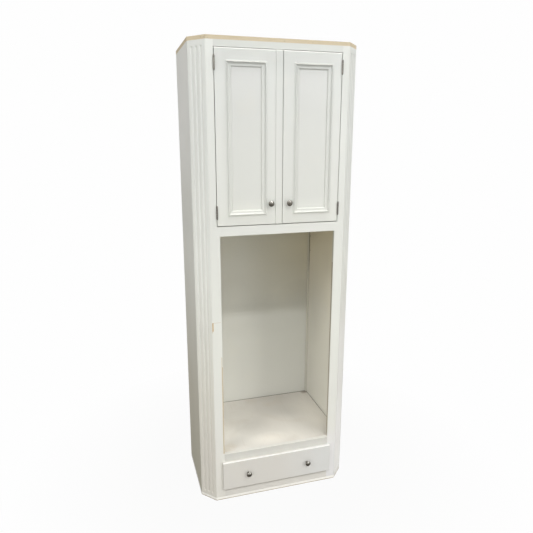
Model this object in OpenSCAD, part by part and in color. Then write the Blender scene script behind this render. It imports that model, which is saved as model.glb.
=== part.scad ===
// Tall oven cabinet: a two-door cupboard over an open oven bay and one drawer.
// Millimetres, +Z up. The origin is on the floor, in the middle of the carcass,
// and the face frame looks along -Y.

/* [Cabinet] */
// Width over the two finished end panels
cabinet_w = 914.4; // [860:0.1:1100]
// Height from the floor to the top of the top plate
cabinet_h = 2591; // [2450:1:2800]
// Depth from the face frame to the back of the back panel
carcass_depth = 609.6; // [600:0.1:680]
// Depth from the face frame to the rear edge of the finished end panels
finished_depth = 495; // [440:1:560]
// Width that each clipped front corner takes off the face
corner_x = 76.2; // [60:0.1:85]
// Depth that each clipped front corner takes off the side
corner_y = 82; // [60:1:100]
// Thickness of the boards
board_t = 19; // [18:0.5:22]
// Thickness of the back panel
back_t = 12; // [6:0.5:18]

/* [Face frame] */
// Width of each stile beside the doors
door_stile_w = 38.1; // [32:0.1:48]
// Width of each stile beside the oven bay and the drawer
oven_stile_w = 53.5; // [50:0.5:64]
// Height of the bottom rail
bottom_rail_h = 71; // [50:1:90]
// Height of the drawer opening
drawer_opening_h = 151; // [146:1:200]
// Height of the sill rail between the drawer and the oven bay
sill_rail_h = 64; // [60:1:90]
// Height of the oven opening
oven_opening_h = 1301; // [1150:1:1350]
// Height of the rail under the doors
middle_rail_h = 51; // [40:1:70]
// Height of the rail over the doors
top_rail_h = 32; // [24:1:45]

/* [Flutes] */
// Flutes on each clipped corner
flute_count = 3; // [1:1:3]
// Width of a flute
flute_w = 16; // [12:0.5:18]
// Depth of a flute
flute_depth = 3.2; // [2.5:0.1:6]
// Plain height left under the flutes
flute_bottom_stop = 20; // [15:1:60]
// Plain height left over the flutes
flute_top_stop = 26; // [15:1:60]

/* [Doors] */
// Gap at both sides of each inset door
door_gap = 3.5; // [3:0.1:3.8]
// Gap over the doors
door_top_gap = 2.5; // [2:0.5:4]
// Gap under the doors
door_bottom_gap = 4.5; // [2:0.5:6]
// Distance of the gap between the doors from the middle of the cabinet
meeting_x = 17; // [0:1:30]
// Frame face left of the moulding on the left door, at its hinges
left_hinge_margin = 53.4; // [45:0.1:60]
// Frame face right of the moulding on the left door, strip and all
left_lock_margin = 82.25; // [80:0.05:95]
// Frame face at the hinges of the right door
right_hinge_margin = 44.9; // [40:0.1:60]
// Frame face at the lock edge of the right door
right_lock_margin = 55.85; // [50:0.05:65]
// Frame face over the moulding
top_margin = 53.5; // [40:0.5:65]
// Frame face under the moulding
bottom_margin = 46.5; // [40:0.5:65]
// Depth of the panel behind the face of the door
panel_recess = 10; // [8:0.5:11]
// Thickness of the door panel
panel_t = 6; // [3:0.5:6]
// Depth of the groove that holds the panel and the rail tongues
groove_depth = 9; // [6:0.5:12]
// Gap left round the panel in its groove
panel_play = 0.5; // [0.5:0.1:0.9]
// Width of the strip on the lock edge of the left door
strip_w = 38; // [25:0.5:40]
// Thickness of that strip
strip_t = 4; // [3:0.5:7]
// Eased edge of that strip
strip_ease = 1.5; // [0.5:0.5:2]

/* [Panel moulding] */
// Width of the moulding
moulding_w = 32; // [31:0.5:40]
// Height of the outer edge over the face of the door
lip_h = 1; // [0.5:0.5:2]
// Distance from the outer edge to the middle of the crest
crest_inset = 10; // [8:0.5:12]
// Height of the crest over the face of the door
crest_h = 7; // [5:0.5:9]
// Radius of the crest
crest_r = 1.75; // [1:0.25:2.5]
// Width of the hollow inside the crest
hollow_w = 10; // [8:0.5:11]
// Width of the round at the inner edge
round_w = 6.5; // [4:0.5:7]
// Height of that round over the panel
round_h = 7; // [5:0.5:8]
// Overlap of the moulding on the door frame
moulding_lap = 10; // [8:0.5:13]
// Hairline between two mitred lengths
mitre_gap = 0.1; // [0.1:0.05:0.5]

/* [Hinges] */
// Height of a hinge leaf
leaf_h = 63.5; // [50:0.5:76]
// Thickness of a hinge leaf
leaf_t = 1.8; // [1.8:0.1:2.2]
// Depth of a hinge leaf on the edge of the door
leaf_depth = 15; // [10:0.5:16]
// Gap between the two leaves of a closed hinge
leaf_gap = 0.5; // [0.5:0.1:0.8]
// Diameter of the hinge barrel
barrel_d = 9; // [8:0.5:10]
// Diameter of the hinge pin
pin_d = 5; // [4:0.5:6]
// Gap between the hinge pin and its bore
pin_play = 0.05; // [0.03:0.01:0.08]
// Gap between the knuckles, and from the barrel to the wood
knuckle_gap = 0.3; // [0.3:0.05:0.5]
// Diameter of the ball on each end of the pin
tip_d = 7; // [6:0.5:8]
// Height of the ball tip over the barrel
tip_reach = 6; // [5:0.5:8]
// Diameter of the ring under the ball
tip_ring_d = 8; // [7:0.5:9]
// Thickness of the ring under the ball
tip_ring_t = 1; // [0.6:0.1:1.4]
// Distance from the end of the door to the middle of a hinge
hinge_inset = 71; // [60:1:100]

/* [Knobs] */
// Diameter of a knob
knob_d = 32; // [26:1:36]
// Reach of a knob in front of its board
knob_reach = 27; // [24:1:32]
// Diameter of the foot of a knob
knob_foot_d = 17; // [14:0.5:20]
// Thickness of the foot of a knob
knob_foot_t = 2; // [1:0.5:3]
// Diameter of the neck of a knob
knob_neck_d = 11; // [8:0.5:13]
// Height of the neck over the board
knob_neck_h = 10; // [8:0.5:12]
// Height of the rim over the board
knob_rim_h = 19; // [15:0.5:21]
// Thickness of the rim
knob_rim_t = 2; // [1:0.5:2.5]
// Distance from the lock edge of the left door to its knob
left_knob_inset = 64.5; // [58:0.5:70]
// Distance from the lock edge of the right door to its knob
right_knob_inset = 34.5; // [20:0.5:36]
// Height of the door knobs over the bottom of the doors
door_knob_h = 110.5; // [60:0.5:200]
// Distance of each drawer knob from the middle of the cabinet
drawer_knob_x = 187; // [100:1:250]

/* [Drawer] */
// Overlap of the drawer front on the face frame
overlay = 12.7; // [8:0.1:20]
// Rounded edge of the drawer front
front_ease = 1.5; // [1:0.5:6]
// Gap between the drawer front and the closed face frame
front_gap = 0.3; // [0.3:0.1:1]
// Thickness of the drawer box boards
box_t = 12; // [10:0.5:16]
// Height of the drawer box
box_h = 127; // [110:1:130]
// Height of the drawer box over the bottom rail
box_lift = 8; // [4:1:12]
// Thickness of the drawer bottom
box_bottom_t = 6; // [4:0.5:8]
// Height of the drawer bottom over the lower edge of the sides
box_bottom_lift = 12; // [8:1:18]
// Depth of the groove round the drawer bottom
box_groove = 6; // [4:0.5:7]
// Length of the drawer box behind the slides
box_tail = 6; // [2:1:12]

/* [Drawer slides] */
// Length of a slide
slide_l = 500; // [400:10:520]
// Height of a slide
slide_h = 45; // [35:1:46]
// Thickness of a slide between the rail and the drawer side
slide_w = 12.7; // [12:0.1:14]
// Thickness of the steel of a slide
slide_steel = 1.5; // [1:0.1:1.8]
// Gap between the members of a slide
slide_gap = 0.3; // [0.3:0.05:0.5]
// Distance from the back of the face frame to the front of the slides
slide_setback = 3; // [1:1:10]
// Width of the rail that carries a slide
runner_w = 38; // [25:1:45]
// Height of the rail that carries a slide
runner_h = 110; // [100:1:130]

/* [Inside] */
// Height of the nailing rails on the back panel
nailer_h = 76; // [50:1:100]
// Side of the square strips in the rear corners of the oven bay
corner_cleat = 12; // [8:1:18]
// Height of the cleats under the oven deck
deck_cleat_h = 38; // [25:1:50]
// Gap between two cleats that meet
cleat_gap = 0.5; // [0.3:0.1:1]
// Gap between the oven deck and the walls of the bay
deck_gap = 3; // [1:0.5:5]
// Diameter of the shelf pin holes
pin_hole_d = 5; // [4:0.5:6]
// Depth of the shelf pin holes
pin_hole_depth = 10; // [8:0.5:13]
// Distance between the shelf pin holes
pin_hole_pitch = 32; // [25:1:50]
// Plain height under and over the columns of shelf pin holes
pin_hole_stop = 128; // [80:1:140]
// Distance from the edges of a shelf to the columns of pin holes
pin_column_inset = 37; // [25:1:60]
// Gap between a shelf pin and its hole
shelf_pin_play = 0.05; // [0.03:0.01:0.1]
// Diameter of the stub of a shelf pin that carries the shelf
pin_stub_d = 7; // [6:0.5:8]
// Length of that stub
pin_stub_l = 11; // [8:0.5:15]
// Hole that carries the lower shelf, counted from the bottom
lower_shelf_hole = 5; // [1:1:7]
// Hole that carries the upper shelf, counted from the top
upper_shelf_hole = 6; // [0:1:7]
// Gap at each end of a shelf
shelf_end_gap = 1.5; // [1:0.5:3]
// Gap behind a shelf
shelf_rear_gap = 2; // [1:0.5:5]
// Distance from the clipped corner to the front edge of a shelf
shelf_setback = 11; // [5:1:40]

/* [Catch] */
// Width of the magnetic catch
catch_w = 56; // [46:1:60]
// Depth of the magnetic catch
catch_depth = 18; // [12:1:24]
// Height of the magnetic catch under the top panel
catch_h = 38; // [36:1:50]
// Distance of each strike plate from the gap between the doors
strike_x = 19; // [14:1:20]
// Side of a square strike plate
strike_w = 18; // [14:1:20]
// Thickness of a strike plate
strike_t = 1; // [0.8:0.1:1.5]
// Distance from the top of the door to the strike plate
strike_drop = 4; // [2:1:6]
// Gap between a strike plate and the catch
strike_gap = 0.3; // [0.3:0.1:0.6]

/* [Hidden] */
curve_fn = 64;
moulding_step = 10;
crest_step = 15;
dome_step = 10;

white_paint = [0.88, 0.89, 0.86];
inside_paint = [0.80, 0.79, 0.74];
raw_wood = [0.83, 0.75, 0.60];
pewter = [0.45, 0.42, 0.38];
steel = [0.72, 0.73, 0.74];
dark_plastic = [0.25, 0.24, 0.22];

// Plan of the carcass, with Y as the depth behind the face.
front_y = -carcass_depth / 2;
end_x = cabinet_w / 2;
side_out = end_x - board_t;
side_in = side_out - board_t;
face_hw = end_x - corner_x;
back_y = carcass_depth - back_t;
pilaster_w = norm([corner_x, corner_y]);
face_turn = atan2(corner_y, corner_x);
end_turn = 90 - face_turn;
face_mitre = [face_hw - board_t * tan(face_turn / 2), board_t];
end_mitre = [side_out, corner_y + board_t * tan(end_turn / 2)];
function behind_pilaster(x) = face_mitre.y + (x - face_mitre.x) * tan(face_turn);
side_front = behind_pilaster(side_in);
oven_hw = face_hw - oven_stile_w;
door_hw = face_hw - door_stile_w;

// Levels, from the floor up.
base_top = board_t;
drawer_z0 = base_top + bottom_rail_h;
drawer_z1 = drawer_z0 + drawer_opening_h;
oven_z0 = drawer_z1 + sill_rail_h;
oven_z1 = oven_z0 + oven_opening_h;
cupboard_z0 = oven_z1 + middle_rail_h;
top_under = cabinet_h - board_t;
cupboard_z1 = top_under - top_rail_h;
ceiling_z = top_under - board_t;
oven_ceiling_z = cupboard_z0 - board_t;

// Doors. Each is laid out on the +X side and mirrored for the left.
door_z0 = cupboard_z0 + door_bottom_gap;
door_z1 = cupboard_z1 - door_top_gap;
hinge_edge = door_hw - door_gap;
groove_y0 = panel_recess;
groove_y1 = panel_recess + panel_t;
function lock_edge(side) = side * meeting_x + door_gap / 2;
function hinge_margin(side) = side < 0 ? left_hinge_margin : right_hinge_margin;
function lock_margin(side) = side < 0 ? left_lock_margin : right_lock_margin;
function knob_inset(side) = side < 0 ? left_knob_inset : right_knob_inset;
function panel_x0(side) = lock_edge(side) + lock_margin(side) + moulding_lap;
function panel_x1(side) = hinge_edge - hinge_margin(side) - moulding_lap;
panel_z0 = door_z0 + bottom_margin + moulding_lap;
panel_z1 = door_z1 - top_margin - moulding_lap;

// Hinges. The barrel stands just in front of the gap beside the door.
pin_x = door_hw - door_gap / 2;
pin_y = -barrel_d / 2 - knuckle_gap;
mortise = (2 * leaf_t + leaf_gap - door_gap) / 2;
knuckle_count = 5;
knuckle_h = leaf_h / knuckle_count;
hinge_zs = [door_z0 + hinge_inset, door_z1 - hinge_inset];
bore_d = pin_d + 2 * pin_play;

// Drawer and its slides.
slide_y0 = board_t + slide_setback;
slide_y1 = slide_y0 + slide_l;
box_hw = oven_hw - slide_w;
box_z0 = drawer_z0 + box_lift;
box_z1 = box_z0 + box_h;
box_y0 = -front_gap;
box_y1 = slide_y1 + box_tail;
box_floor_z = box_z0 + box_bottom_lift;
slide_z = (box_z0 + box_z1) / 2;
front_z0 = drawer_z0 - overlay;
front_z1 = drawer_z1 + overlay;
front_hw = oven_hw + overlay;

// Shelves and their pins.
hole_z0 = cupboard_z0 + pin_hole_stop;
hole_room = ceiling_z - pin_hole_stop - hole_z0;
hole_count = floor(hole_room / pin_hole_pitch) + 1;
shelf_y0 = side_front + shelf_setback;
shelf_y1 = back_y - shelf_rear_gap;
pin_ys = [shelf_y0 + pin_column_inset, shelf_y1 - pin_column_inset];
lower_pin_z = hole_z0 + lower_shelf_hole * pin_hole_pitch;
upper_pin_z = hole_z0 + (hole_count - 1 - upper_shelf_hole) * pin_hole_pitch;

// Helpers

// Moves what is drawn behind a face at Y = 0 to its place about the origin.
module behind_face() {
    translate([0, front_y, 0]) children();
}

// Keeps what is drawn on the +X side, or mirrors it to the -X side.
module on_side(side) {
    mirror([side < 0 ? 1 : 0, 0, 0]) children();
}

// A block between two corners.
module block(low, high) {
    translate(low) cube(high - low);
}

// An upright board with the given plan, between two levels.
module upright(plan, z0, z1) {
    translate([0, 0, z0]) linear_extrude(z1 - z0) polygon(plan);
}

// A plan on the +X side, closed by its mirror image.
function both_sides(half) = concat(
    half,
    [for (i = [len(half) - 1:-1:0]) [-half[i].x, half[i].y]]
);

// Carcass

// Outline of the plates that cap the whole cabinet.
plate_plan = both_sides([
    [face_hw, 0],
    [end_x, corner_y],
    [end_x, finished_depth],
    [side_out, finished_depth],
    [side_out, carcass_depth]
]);

// Outline of the boards that fill the carcass behind the face frame, with the given
// gap left at their sides and back.
function inner_plan(gap) = both_sides([
    [face_mitre.x, board_t],
    [side_in - gap, behind_pilaster(side_in - gap)],
    [side_in - gap, back_y - gap]
]);

module inner_board(z0, gap) {
    color(inside_paint) behind_face() upright(inner_plan(gap), z0, z0 + board_t);
}

module base_plate() {
    color(raw_wood) behind_face() upright(plate_plan, 0, base_top);
}

module top_plate() {
    color(raw_wood) behind_face() upright(plate_plan, top_under, cabinet_h);
}

module bottom_panel() {
    inner_board(drawer_z0 - board_t, 0);
}

// The deck is notched round the strips in the rear corners of the bay.
module oven_deck() {
    notch = corner_cleat + deck_gap;
    difference() {
        inner_board(oven_z0 - board_t, deck_gap);
        behind_face()
            for (side = [-1, 1])
                on_side(side) block(
                    [side_in - notch, back_y - notch, oven_z0 - board_t - 1],
                    [side_in + 1, back_y + 1, oven_z0 + 1]
                );
    }
}

module cupboard_floor() {
    inner_board(oven_ceiling_z, 0);
}

module top_panel() {
    inner_board(ceiling_z, 0);
}

module back_panel() {
    color(inside_paint) behind_face() block(
        [-side_out, back_y, base_top],
        [side_out, carcass_depth, top_under]
    );
}

// One side of the carcass, bevelled onto the clipped corner, with its columns of holes.
module side_panel(side) {
    plan = [
        [side_in, side_front],
        [side_out, behind_pilaster(side_out)],
        [side_out, back_y],
        [side_in, back_y]
    ];
    color(inside_paint) behind_face() on_side(side) difference() {
        upright(plan, base_top, top_under);
        for (y = pin_ys, i = [0:hole_count - 1])
            translate([side_in - 1, y, hole_z0 + i * pin_hole_pitch])
                rotate([0, 90, 0])
                    cylinder(d = pin_hole_d, h = pin_hole_depth + 1, $fn = curve_fn);
    }
}

module end_panel(side) {
    plan = [
        [end_x, corner_y],
        [end_x, finished_depth],
        [side_out, finished_depth],
        end_mitre
    ];
    color(white_paint) behind_face() on_side(side) upright(plan, base_top, top_under);
}

// Radius of the cutter whose chord is the width of a flute.
flute_r = (pow(flute_w / 2, 2) + pow(flute_depth, 2)) / (2 * flute_depth);
flute_z0 = base_top + flute_bottom_stop + flute_w / 2;
flute_z1 = top_under - flute_top_stop - flute_w / 2;

// A stopped flute with round ends, cut into a face at Y = 0.
module flute() {
    translate([0, flute_depth - flute_r, 0]) {
        translate([0, 0, flute_z0]) cylinder(r = flute_r, h = flute_z1 - flute_z0, $fn = curve_fn);
        translate([0, 0, flute_z0]) sphere(r = flute_r, $fn = curve_fn);
        translate([0, 0, flute_z1]) sphere(r = flute_r, $fn = curve_fn);
    }
}

// The fluted board across a clipped corner, mitred to the stile and to the end panel.
module pilaster(side) {
    plan = [
        [face_hw, 0],
        [end_x, corner_y],
        end_mitre,
        face_mitre
    ];
    color(white_paint) behind_face() on_side(side) difference() {
        upright(plan, base_top, top_under);
        translate([face_hw, 0, 0]) rotate([0, 0, face_turn])
            for (i = [1:flute_count])
                translate([i * pilaster_w / (flute_count + 1), 0, 0]) flute();
    }
}

// Face frame

// Shallow seat for a hinge leaf, cut into an edge at X = 0 from its -X side.
module leaf_seat() {
    for (z = hinge_zs)
        block([-mortise, -1, z - leaf_h / 2], [mortise, leaf_depth, z + leaf_h / 2]);
}

// A stile in one piece, wide beside the oven bay and narrower beside the doors.
module stile(side) {
    plan = [
        [oven_hw, 0],
        [face_hw, 0],
        face_mitre,
        [oven_hw, board_t]
    ];
    color(white_paint) behind_face() on_side(side) difference() {
        upright(plan, base_top, top_under);
        block([oven_hw - 1, -1, cupboard_z0], [door_hw, board_t + 1, top_under + 1]);
        translate([door_hw, 0, 0]) leaf_seat();
    }
}

module rail(half_w, z0, z1) {
    color(white_paint) behind_face() block([-half_w, 0, z0], [half_w, board_t, z1]);
}

module top_rail() {
    rail(door_hw, cupboard_z1, top_under);
}

module middle_rail() {
    rail(oven_hw, oven_z1, cupboard_z0);
}

module sill_rail() {
    rail(oven_hw, drawer_z1, oven_z0);
}

module bottom_rail() {
    rail(oven_hw, base_top, drawer_z0);
}

// Inside the carcass

// Rails on the back panel, under the ceiling of the oven bay and of the cupboard.
module rear_nailers() {
    color(inside_paint) behind_face()
        for (z = [oven_ceiling_z, ceiling_z])
            block([-side_in, back_y - board_t, z - nailer_h], [side_in, back_y, z]);
}

// Strips in the rear corners of the bay, standing on the cleats under the deck.
module corner_cleats() {
    color(inside_paint) behind_face()
        for (side = [-1, 1])
            on_side(side) block(
                [side_in - corner_cleat, back_y - corner_cleat, oven_z0 - board_t],
                [side_in, back_y, oven_ceiling_z - nailer_h]
            );
}

// Cleats that carry the oven deck at both sides and along the back.
module deck_supports() {
    z1 = oven_z0 - board_t;
    z0 = z1 - deck_cleat_h;
    rear_hw = side_in - board_t - cleat_gap;
    color(raw_wood) behind_face() {
        for (side = [-1, 1])
            on_side(side) block([side_in - board_t, side_front, z0], [side_in, back_y, z1]);
        block([-rear_hw, back_y - board_t, z0], [rear_hw, back_y, z1]);
    }
}

module drawer_runner_rails() {
    color(raw_wood) behind_face()
        for (side = [-1, 1])
            on_side(side) block(
                [oven_hw, board_t, drawer_z0],
                [oven_hw + runner_w, back_y, drawer_z0 + runner_h]
            );
}

module shelf(pin_z) {
    z0 = pin_z + pin_stub_d / 2;
    half_w = side_in - shelf_end_gap;
    color(inside_paint) behind_face() block([-half_w, shelf_y0, z0], [half_w, shelf_y1, z0 + board_t]);
}

module lower_shelf() {
    shelf(lower_pin_z);
}

module upper_shelf() {
    shelf(upper_pin_z);
}

module shelf_pin() {
    rotate([0, 90, 0]) cylinder(
        d = pin_hole_d - 2 * shelf_pin_play,
        h = pin_hole_depth - shelf_pin_play,
        $fn = curve_fn
    );
    rotate([0, -90, 0]) cylinder(d = pin_stub_d, h = pin_stub_l, $fn = curve_fn);
}

module shelf_pins() {
    color(steel) behind_face()
        for (side = [-1, 1], y = pin_ys, z = [lower_pin_z, upper_pin_z])
            on_side(side) translate([side_in, y, z]) shelf_pin();
}

// Double magnetic catch under the top panel, behind the gap between the doors.
module door_catch() {
    y0 = board_t + strike_t + strike_gap;
    color(dark_plastic) behind_face() block(
        [meeting_x - catch_w / 2, y0, ceiling_z - catch_h],
        [meeting_x + catch_w / 2, y0 + catch_depth, ceiling_z]
    );
}

// Hinges

// Knuckles first, first + 2 and so on of a hinge about the Z axis, with the roots
// that carry them to the leaf. The leaf lies on the +X side, behind the barrel.
module leaf(first) {
    inner_x = leaf_gap / 2;
    outer_x = inner_x + leaf_t;
    plate_y = knuckle_gap - pin_y;
    rear_y = leaf_depth - pin_y;
    difference() {
        union() {
            block([inner_x, plate_y, -leaf_h / 2], [outer_x, rear_y, leaf_h / 2]);
            for (i = [first:2:knuckle_count - 1]) {
                low = i > 0 ? knuckle_gap / 2 : 0;
                high = i < knuckle_count - 1 ? knuckle_gap / 2 : 0;
                z0 = i * knuckle_h - leaf_h / 2 + low;
                z1 = (i + 1) * knuckle_h - leaf_h / 2 - high;
                translate([0, 0, z0]) cylinder(d = barrel_d, h = z1 - z0, $fn = curve_fn);
                block([inner_x, 0, z0], [outer_x, plate_y + 1, z1]);
            }
        }
        translate([0, 0, -leaf_h / 2 - 1]) cylinder(d = bore_d, h = leaf_h + 2, $fn = curve_fn);
    }
}

module at_hinges(side) {
    behind_face() on_side(side)
        for (z = hinge_zs)
            translate([pin_x, pin_y, z]) children();
}

module hinge_frame_leaves() {
    color(pewter) for (side = [-1, 1]) at_hinges(side) leaf(0);
}

module hinge_door_leaves(side) {
    color(pewter) at_hinges(side) mirror([1, 0, 0]) leaf(1);
}

// A pin with a ring and a ball on each end.
module hinge_pin() {
    cylinder(d = pin_d, h = leaf_h + 2 * tip_ring_t, center = true, $fn = curve_fn);
    for (end = [-1, 1]) {
        ring_z = end * (leaf_h / 2 + pin_play + tip_ring_t / 2);
        translate([0, 0, ring_z]) cylinder(d = tip_ring_d, h = tip_ring_t, center = true, $fn = curve_fn);
        translate([0, 0, end * (leaf_h / 2 + tip_reach - tip_d / 2)]) sphere(d = tip_d, $fn = curve_fn);
    }
}

module hinge_pins() {
    color(pewter) for (side = [-1, 1]) at_hinges(side) hinge_pin();
}

// Doors

module door_board(x0, x1, z0, z1) {
    block([x0, 0, z0], [x1, board_t, z1]);
}

// A groove or a tongue in the thickness of the door.
module door_tongue(x0, x1, z0, z1) {
    block([x0, groove_y0, z0], [x1, groove_y1, z1]);
}

module door_hinge_stile(side) {
    inner = panel_x1(side);
    color(white_paint) behind_face() on_side(side) difference() {
        door_board(inner, hinge_edge, door_z0, door_z1);
        door_tongue(inner - 1, inner + groove_depth, door_z0 - 1, door_z1 + 1);
        translate([hinge_edge, 0, 0]) leaf_seat();
    }
}

module door_lock_stile(side) {
    inner = panel_x0(side);
    color(white_paint) behind_face() on_side(side) difference() {
        door_board(lock_edge(side), inner, door_z0, door_z1);
        door_tongue(inner - groove_depth, inner + 1, door_z0 - 1, door_z1 + 1);
    }
}

// A rail between the stiles, with a tongue on each end and a groove for the panel.
module door_rail(side, z0, z1, groove_z) {
    x0 = panel_x0(side);
    x1 = panel_x1(side);
    color(white_paint) behind_face() on_side(side) difference() {
        union() {
            door_board(x0, x1, z0, z1);
            door_tongue(x0 - groove_depth, x1 + groove_depth, z0, z1);
        }
        door_tongue(x0 - groove_depth - 1, x1 + groove_depth + 1, groove_z, groove_z + groove_depth + 1);
    }
}

module door_top_rail(side) {
    door_rail(side, panel_z1, door_z1, panel_z1 - 1);
}

module door_bottom_rail(side) {
    door_rail(side, door_z0, panel_z0, panel_z0 - groove_depth);
}

module door_panel(side) {
    reach = groove_depth - panel_play;
    color(white_paint) behind_face() on_side(side) door_tongue(
        panel_x0(side) - reach,
        panel_x1(side) + reach,
        panel_z0 - reach,
        panel_z1 + reach
    );
}

// Section of the panel moulding: across its width from the outer edge, and over the
// face of the door. It rises in a cavetto to a round crest, drops in a hollow to a flat,
// and ends in a round on the panel.
crest_z = crest_h - crest_r;
flat_z = round_h - panel_recess;
flat_u = moulding_w - round_w;
quarter = [0:moulding_step:90];
moulding_section = concat(
    [[0, 0]],
    [for (a = quarter) [(crest_inset - crest_r) * sin(a), crest_z - (crest_z - lip_h) * cos(a)]],
    [for (a = [180 - crest_step:-crest_step:crest_step]) [
        crest_inset + crest_r * cos(a),
        crest_z + crest_r * sin(a)
    ]],
    [for (a = quarter) [
        crest_inset + crest_r + hollow_w * (1 - cos(a)),
        crest_z - (crest_z - flat_z) * sin(a)
    ]],
    [for (a = quarter) [flat_u + round_w * sin(a), round_h * cos(a) - panel_recess]],
    [
        [moulding_lap, -panel_recess],
        [moulding_lap, 0]
    ]
);

// A length of moulding along +X, lying on its back, mitred at both ends.
module moulding_length(length) {
    inset = mitre_gap / sqrt(2);
    intersection() {
        rotate([90, 0, 90]) linear_extrude(length) polygon(moulding_section);
        translate([0, 0, -panel_recess - 1]) linear_extrude(panel_recess + crest_h + 2)
            polygon([
                [inset, 0],
                [length - inset, 0],
                [length - moulding_w - inset, moulding_w],
                [moulding_w + inset, moulding_w]
            ]);
    }
}

// Four lengths that meet in mitres round the panel.
module door_moulding(side) {
    w = panel_x1(side) - panel_x0(side) + 2 * moulding_lap;
    h = panel_z1 - panel_z0 + 2 * moulding_lap;
    corner = [panel_x0(side) - moulding_lap, 0, panel_z0 - moulding_lap];
    color(white_paint) behind_face() on_side(side) translate(corner) rotate([90, 0, 0]) {
        moulding_length(w);
        translate([w, 0, 0]) rotate([0, 0, 90]) moulding_length(h);
        translate([w, h, 0]) rotate([0, 0, 180]) moulding_length(w);
        translate([0, h, 0]) rotate([0, 0, 270]) moulding_length(h);
    }
}

// Flat strip on the lock edge of the left door, with eased front edges.
module door_strip(side) {
    x0 = lock_edge(side);
    x1 = x0 + strip_w;
    plan = [
        [x0, 0],
        [x0, strip_ease - strip_t],
        [x0 + strip_ease, -strip_t],
        [x1 - strip_ease, -strip_t],
        [x1, strip_ease - strip_t],
        [x1, 0]
    ];
    color(white_paint) behind_face() on_side(side) upright(plan, door_z0, door_z1);
}

// A turned knob that stands out along -Y from a face at Y = 0.
dome_h = knob_reach - knob_rim_h;
module knob() {
    section = concat(
        [
            [0, 0],
            [knob_foot_d / 2, 0],
            [knob_foot_d / 2, knob_foot_t],
            [knob_neck_d / 2, knob_foot_t + knob_rim_t],
            [knob_neck_d / 2, knob_neck_h],
            [knob_d / 2 - knob_rim_t, knob_rim_h - knob_rim_t]
        ],
        [for (a = [0:dome_step:90]) [knob_d / 2 * cos(a), knob_rim_h + dome_h * sin(a)]]
    );
    color(pewter) rotate([90, 0, 0]) rotate_extrude($fn = curve_fn) polygon(section);
}

module door_knob(side) {
    behind_face() on_side(side)
        translate([lock_edge(side) + knob_inset(side), 0, door_z0 + door_knob_h]) knob();
}

// Strike plate on the back of a door, in front of its half of the catch.
module catch_strike(side) {
    x = side * meeting_x + strike_x;
    z1 = door_z1 - strike_drop;
    color(steel) behind_face() on_side(side) block(
        [x - strike_w / 2, board_t, z1 - strike_w],
        [x + strike_w / 2, board_t + strike_t, z1]
    );
}

// Drawer

// Section across the drawer front, with its front edges rounded.
module eased_section(width) {
    translate([0, -board_t]) {
        translate([-width / 2, front_ease]) square([width, board_t - front_ease]);
        translate([-width / 2 + front_ease, 0]) square([width - 2 * front_ease, board_t]);
        for (end = [-1, 1])
            translate([end * (width / 2 - front_ease), front_ease]) circle(r = front_ease, $fn = curve_fn);
    }
}

module drawer_front() {
    h = front_z1 - front_z0;
    color(white_paint) behind_face() translate([0, -front_gap, (front_z0 + front_z1) / 2])
        intersection() {
            linear_extrude(h, center = true) eased_section(2 * front_hw);
            rotate([0, 90, 0]) linear_extrude(2 * front_hw, center = true) eased_section(h);
        }
}

// The drawer bottom, grown by a margin for the groove that it lies in.
module bottom_board(margin) {
    hw = box_hw - box_t + box_groove + margin;
    y0 = box_y0 + box_t - box_groove - margin;
    block([-hw, y0, box_floor_z], [hw, box_y1 + margin, box_floor_z + box_bottom_t]);
}

module drawer_bottom() {
    color(raw_wood) behind_face() bottom_board(-panel_play);
}

module drawer_side(side) {
    color(raw_wood) behind_face() difference() {
        on_side(side) block([box_hw - box_t, box_y0, box_z0], [box_hw, box_y1, box_z1]);
        bottom_board(0);
    }
}

module drawer_box_front() {
    color(raw_wood) behind_face() difference() {
        block([box_t - box_hw, box_y0, box_z0], [box_hw - box_t, box_y0 + box_t, box_z1]);
        bottom_board(0);
    }
}

// The back of the drawer box stands on the drawer bottom.
module drawer_back() {
    color(raw_wood) behind_face() block(
        [box_t - box_hw, box_y1 - box_t, box_floor_z + box_bottom_t],
        [box_hw - box_t, box_y1, box_z1]
    );
}

module drawer_knobs() {
    z = (front_z0 + front_z1) / 2;
    for (side = [-1, 1])
        behind_face() translate([side * drawer_knob_x, -front_gap - board_t, z]) knob();
}

// Drawer slides

// A channel whose web stands at the given distance from the rail, with its flanges
// towards the drawer or, with turned set, towards the rail.
module channel(web, reach, height, turned) {
    web_x = turned ? reach - slide_steel : web;
    for (end = [-1, 1])
        block(
            [web, slide_y0, end * (height - slide_steel) / 2 - slide_steel / 2],
            [reach, slide_y1, end * (height - slide_steel) / 2 + slide_steel / 2]
        );
    block([web_x, slide_y0, -height / 2], [web_x + slide_steel, slide_y1, height / 2]);
}

nest = slide_steel + slide_gap;
inner_web = slide_w - slide_steel;
middle_h = slide_h - 2 * nest;
inner_h = middle_h - 2 * nest;

module slide_pair(web, reach, height, turned) {
    color(steel) behind_face()
        for (side = [-1, 1])
            on_side(side) translate([oven_hw, 0, slide_z]) mirror([1, 0, 0])
                channel(web, reach, height, turned);
}

module slide_outers() {
    slide_pair(0, inner_web - nest, slide_h, false);
}

module slide_middles() {
    slide_pair(nest, inner_web - slide_gap, middle_h, false);
}

module slide_inners() {
    slide_pair(2 * nest, slide_w, inner_h, true);
}

// Pieces by name

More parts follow.
